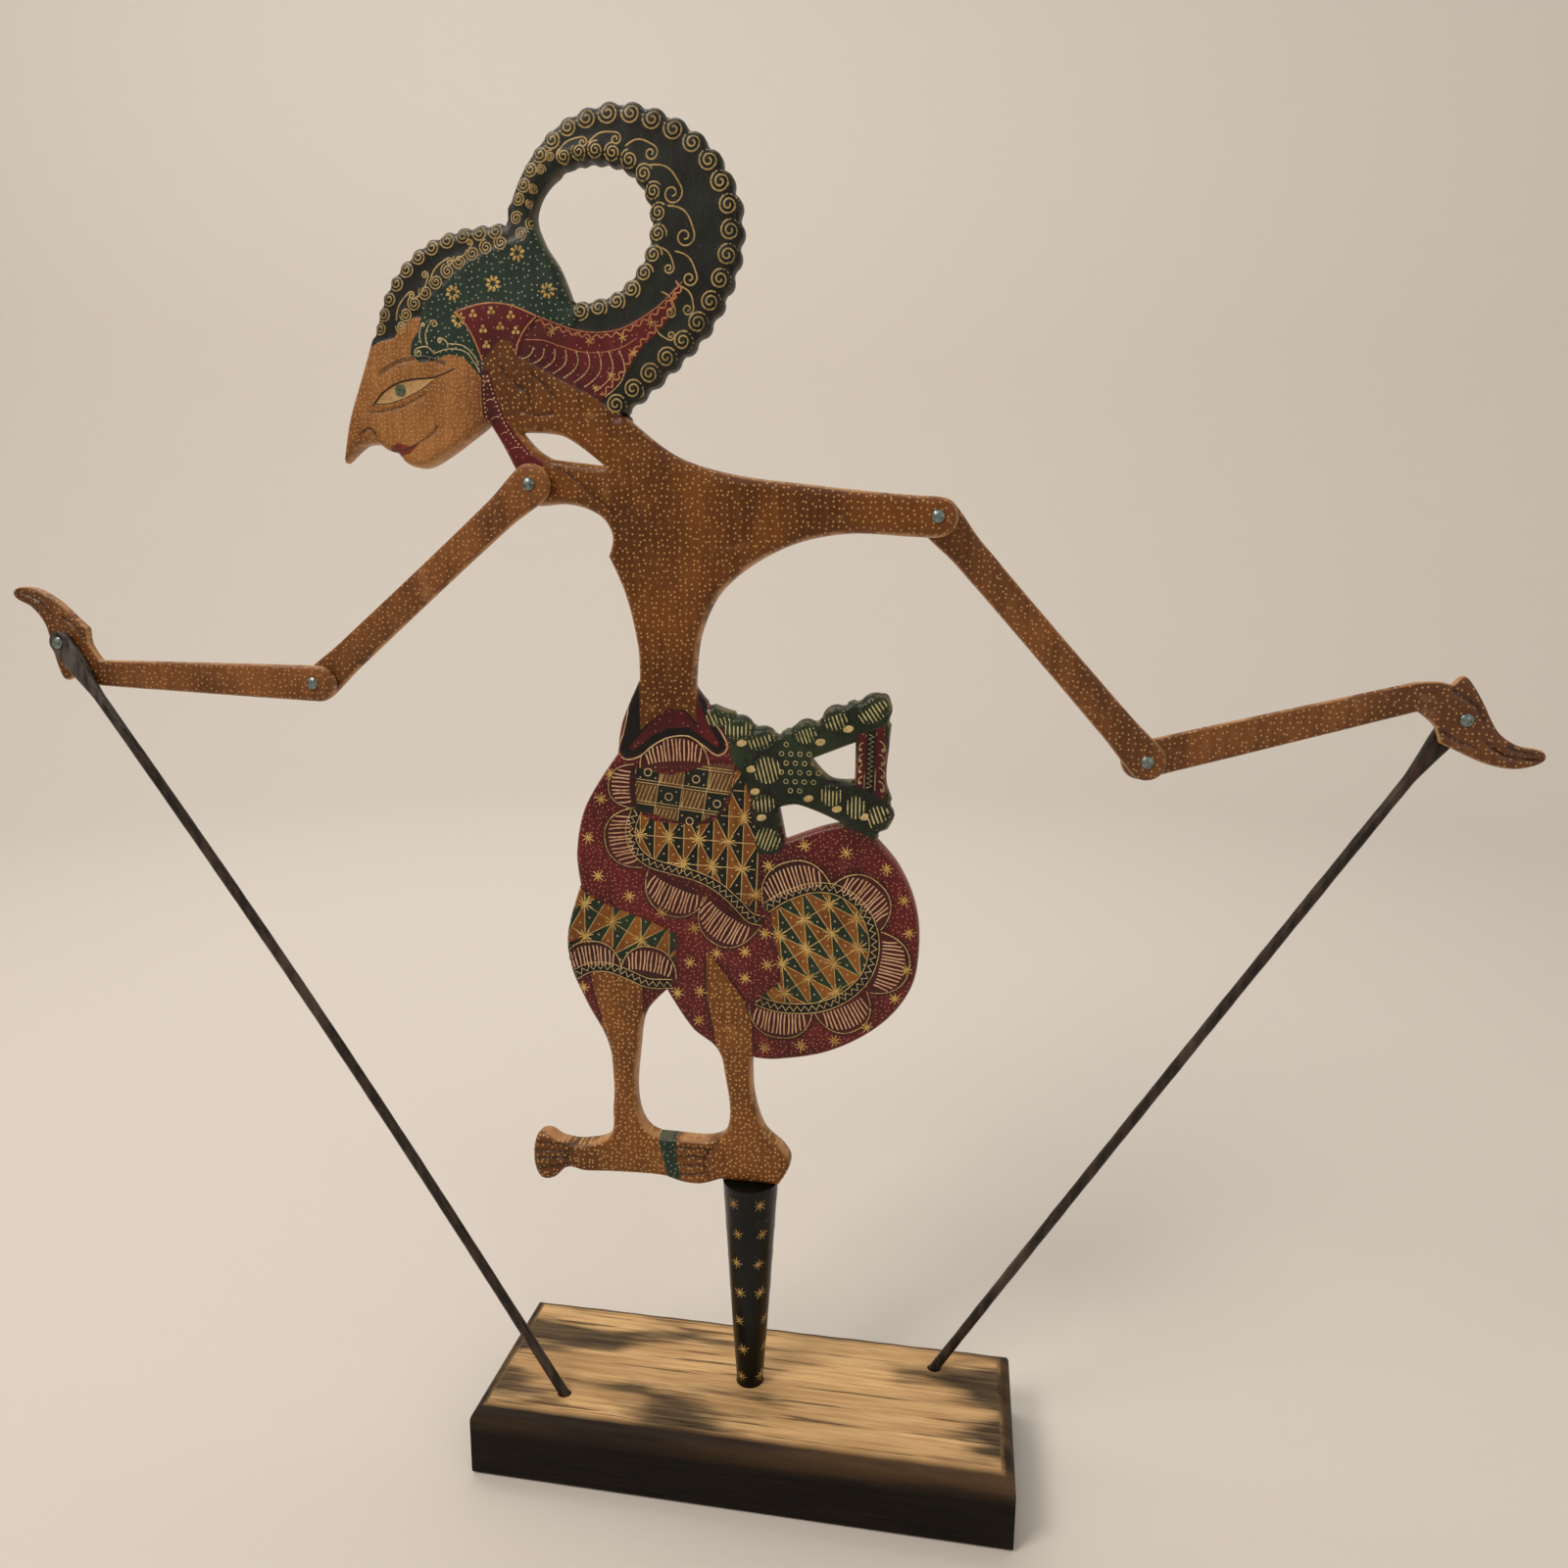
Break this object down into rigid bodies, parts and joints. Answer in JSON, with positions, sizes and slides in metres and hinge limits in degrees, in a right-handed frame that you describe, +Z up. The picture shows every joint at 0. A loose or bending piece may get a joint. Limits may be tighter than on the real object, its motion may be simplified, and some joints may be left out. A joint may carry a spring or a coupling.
{
  "type": "rod puppet on stand",
  "caption": "Flat carved and painted figure on a tapered stake and base board, with riveted two-part arms worked by control rods pivoted at the hands.",
  "frame": {"origin": "centre of the base board's underside", "axes": "+X to the viewer's right along the board's length, +Y away from the viewer through the plank's thickness, +Z up"},
  "size_m": [0.698, 0.088, 0.6315],
  "materials": {
    "base_wood": "stained plank, worn pale in the middle of the top and almost black along its edges and sides",
    "stake_lacquer": "black lacquer with small gold stars",
    "carved_figure": "carved and painted, brown skin with pale dots, maroon, green and gold dress, satin varnish",
    "carved_arm": "carved and painted brown with rows of pale dots, satin varnish",
    "rod_wood": "dark stained, polished by handling",
    "rivet_steel": "dull blue-grey domed heads"
  },
  "bodies": {
    "stand": {"base_board": "base_wood"},
    "figure": {"figure_panel": "carved_figure", "stake": "stake_lacquer", "rivet_shoulder_left": "rivet_steel", "burr_shoulder_left": "rivet_steel", "rivet_shoulder_right": "rivet_steel", "burr_shoulder_right": "rivet_steel"},
    "left_upper_arm": {"upper_arm_left": "carved_arm", "rivet_elbow_left": "rivet_steel", "burr_elbow_left": "rivet_steel"},
    "left_forearm": {"forearm_left": "carved_arm", "rivet_wrist_left": "rivet_steel", "burr_wrist_left": "rivet_steel"},
    "left_rod": {"rod_left": "rod_wood"},
    "right_upper_arm": {"upper_arm_right": "carved_arm", "rivet_elbow_right": "rivet_steel", "burr_elbow_right": "rivet_steel"},
    "right_forearm": {"forearm_right": "carved_arm", "rivet_wrist_right": "rivet_steel", "burr_wrist_right": "rivet_steel"},
    "right_rod": {"rod_right": "rod_wood"}
  },
  "joints": [
    {"name": "figure_lift", "type": "slide", "parent": "stand", "child": "figure", "axis": [0, 0, 1], "range_m": [0, 0.03]},
    {"name": "left_shoulder", "type": "hinge", "parent": "figure", "child": "left_upper_arm", "pos_m": [-0.099, 0, 0.476], "axis": [0, 1, 0], "range_deg": [-50, 120]},
    {"name": "left_elbow", "type": "hinge", "parent": "left_upper_arm", "child": "left_forearm", "pos_m": [-0.20625, 0, 0.38601], "axis": [0, -1, 0], "range_deg": [0, 130]},
    {"name": "left_rod_pivot", "type": "hinge", "parent": "left_forearm", "child": "left_rod", "pos_m": [-0.33513, 0, 0.40298], "axis": [0, -1, 0], "range_deg": [0, 110]},
    {"name": "right_shoulder", "type": "hinge", "parent": "figure", "child": "right_upper_arm", "pos_m": [0.081, 0, 0.462], "axis": [0, -1, 0], "range_deg": [-42, 120]},
    {"name": "right_elbow", "type": "hinge", "parent": "right_upper_arm", "child": "right_forearm", "pos_m": [0.17468, 0, 0.35796], "axis": [0, 1, 0], "range_deg": [0, 130]},
    {"name": "right_rod_pivot", "type": "hinge", "parent": "right_forearm", "child": "right_rod", "pos_m": [0.3029, 0, 0.37942], "axis": [0, 1, 0], "range_deg": [0, 110]}
  ]
}
